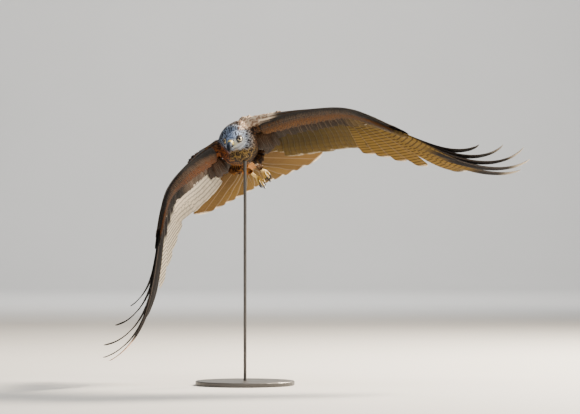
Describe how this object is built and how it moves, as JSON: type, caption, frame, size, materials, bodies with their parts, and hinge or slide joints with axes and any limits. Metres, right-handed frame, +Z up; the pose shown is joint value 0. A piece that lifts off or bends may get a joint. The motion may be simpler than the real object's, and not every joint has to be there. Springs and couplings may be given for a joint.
{
  "type": "red kite display model",
  "caption": "Life-size red kite in banking flight, wings beating down and tail fanned, on a plain rod stand.",
  "frame": {"origin": "centre of the underside of the stand's round base, on the surface it rests on", "axes": "+Z up, -Y the way the bird faces, +X towards the side of its raised left wing"},
  "size_m": [1.1777, 0.625, 0.7539],
  "materials": {
    "body_plumage": "rufous-brown contour feathers with dark shaft streaks",
    "head_plumage": "pale blue-grey feathers with fine dark streaks",
    "wing_plumage": "barred brown flight feathers, rufous coverts and black fingers",
    "tail_plumage": "orange-rufous feathers with thin dark bars and a pale rim",
    "bare_skin": "yellow cere and scaled yellow feet",
    "horn": "blue-black horn with a soft polish",
    "eye": "pale yellow iris and black pupil under a clear cornea",
    "stand_metal": "satin dark grey powder coat"
  },
  "bodies": {
    "root": {"torso": "body_plumage", "neck": "body_plumage", "head": "head_plumage", "cere": "bare_skin", "bill_upper": "horn", "bill_lower": "horn", "eye_left": "eye", "eye_right": "eye", "wing_left": "wing_plumage", "wing_right": "wing_plumage", "tail": "tail_plumage", "thigh_left": "body_plumage", "thigh_right": "body_plumage", "tarsus_left": "bare_skin", "tarsus_right": "bare_skin", "foot_left": "bare_skin", "foot_right": "bare_skin", "claw_inner_left": "horn", "claw_middle_left": "horn", "claw_outer_left": "horn", "claw_hallux_left": "horn", "claw_inner_right": "horn", "claw_middle_right": "horn", "claw_outer_right": "horn", "claw_hallux_right": "horn", "stand_base": "stand_metal", "stand_rod": "stand_metal"}
  },
  "joints": []
}
